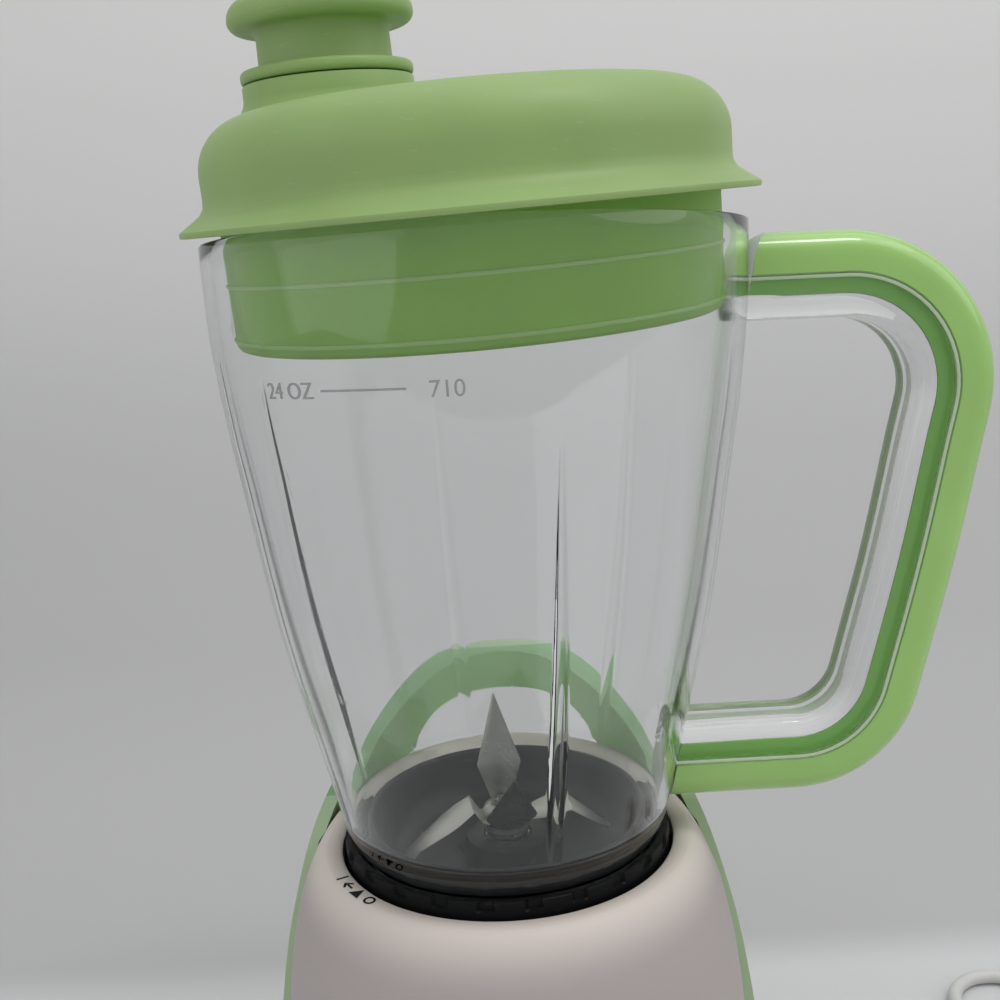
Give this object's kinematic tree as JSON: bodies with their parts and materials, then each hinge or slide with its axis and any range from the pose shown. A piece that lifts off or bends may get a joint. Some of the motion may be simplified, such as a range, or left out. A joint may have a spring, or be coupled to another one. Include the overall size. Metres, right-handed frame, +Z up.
{
  "type": "baby food maker",
  "caption": "Small upright food maker: clear fluted jar with a D handle, tilted lid with a stoppered spout, bladed twist-lock base ring, motor base with a rear carrying loop and a cord.",
  "frame": {"origin": "centre of the bounding box at the table, without the cord", "axes": "+Z up along the jar; +X towards the handle; -Y is the front, +Y the carrying loop and the cord"},
  "size_m": [0.2534, 0.2431, 0.32],
  "materials": {
    "white_shell": "satin off-white",
    "green_shell": "satin green, slightly translucent look",
    "green_handle": "satin green",
    "green_lid": "soft matte green",
    "clear_jar": "clear polished plastic",
    "black_plastic": "satin black",
    "grey_plastic": "satin grey",
    "seal_rubber": "matte pale silicone",
    "foot_rubber": "matte grey",
    "core_steel": "dark laminated steel",
    "winding": "copper",
    "steel": "brushed",
    "cord": "matte white",
    "pin_metal": "plain"
  },
  "bodies": {
    "base": {"front_shell": "white_shell", "rear_shell": "green_shell", "bottom_plate": "white_shell", "rubber_foot_1": "foot_rubber", "rubber_foot_2": "foot_rubber", "rubber_foot_3": "foot_rubber", "rubber_foot_4": "foot_rubber", "base_screw_1": "steel", "base_screw_2": "steel", "base_screw_3": "steel", "base_screw_4": "steel", "socket_cup": "black_plastic", "interlock_switch_1": "black_plastic", "interlock_switch_2": "black_plastic", "stator_core": "core_steel", "field_coil_1": "winding", "field_coil_2": "winding", "upper_motor_bracket": "black_plastic", "lower_motor_bracket": "black_plastic", "motor_brush_1": "core_steel", "motor_brush_2": "core_steel", "upper_bearing": "steel", "lower_bearing": "steel", "plunger_spring_1": "steel", "plunger_spring_2": "steel", "strain_relief": "cord", "cord_lead": "cord", "cord_coil": "cord", "cord_tail": "cord", "plug_body": "cord", "plug_pin_1": "pin_metal", "plug_pin_2": "pin_metal"},
    "interlock": {"interlock_ring": "black_plastic"},
    "plunger_a": {"plunger_1": "grey_plastic"},
    "plunger_b": {"plunger_2": "grey_plastic"},
    "rotor": {"motor_shaft": "steel", "armature_core": "core_steel", "commutator": "winding", "cooling_fan": "black_plastic", "drive_coupler": "black_plastic"},
    "blade_carrier": {"blade_base": "black_plastic", "jar_seal": "seal_rubber", "shaft_bushing": "steel"},
    "blades": {"blade_shaft": "steel", "blade_coupler": "black_plastic", "blade_spacer": "steel", "lower_blade": "steel", "upper_blade": "steel", "hub_nut": "steel"},
    "jar": {"jar": "clear_jar", "handle_insert": "green_handle"},
    "lid": {"lid": "green_lid"},
    "stopper": {"spout_stopper": "green_lid"}
  },
  "joints": [
    {"name": "jar_twist", "type": "hinge", "parent": "base", "child": "interlock", "pos_m": [-0.02639, -0.00835, 0.095], "axis": [0, 0, 1], "range_deg": [-15, 0]},
    {"name": "plunger_a_press", "type": "slide", "parent": "base", "child": "plunger_a", "axis": [0, 0, 1], "range_m": [-0.0026, 0], "deforming": ["plunger_spring_1"]},
    {"name": "plunger_b_press", "type": "slide", "parent": "base", "child": "plunger_b", "axis": [0, 0, 1], "range_m": [-0.0026, 0], "deforming": ["plunger_spring_2"]},
    {"name": "jar_lift", "type": "slide", "parent": "interlock", "child": "blade_carrier", "axis": [0, 0, 1], "range_m": [0, 0.06]},
    {"name": "motor_spin", "type": "hinge", "parent": "base", "child": "rotor", "pos_m": [-0.02639, -0.00835, 0.05], "axis": [0, 0, 1], "continuous": true},
    {"name": "blade_spin", "type": "hinge", "parent": "blade_carrier", "child": "blades", "pos_m": [-0.02639, -0.00835, 0.12], "axis": [0, 0, 1], "continuous": true},
    {"name": "jar_unscrew", "type": "slide", "parent": "blade_carrier", "child": "jar", "axis": [0, 0, 1], "range_m": [0, 0.045]},
    {"name": "lid_lift", "type": "slide", "parent": "jar", "child": "lid", "axis": [0, 0, 1], "range_m": [0, 0.06]},
    {"name": "stopper_lift", "type": "slide", "parent": "lid", "child": "stopper", "axis": [-0.0381, -0.0911, 0.9951], "range_m": [0, 0.03]}
  ],
  "couplings": [
    {"joint": "plunger_a_press", "follows": "jar_twist", "m_per_rad": 0.0095},
    {"joint": "plunger_b_press", "follows": "jar_twist", "m_per_rad": 0.0095},
    {"joint": "blade_spin", "follows": "motor_spin", "ratio": 1}
  ]
}
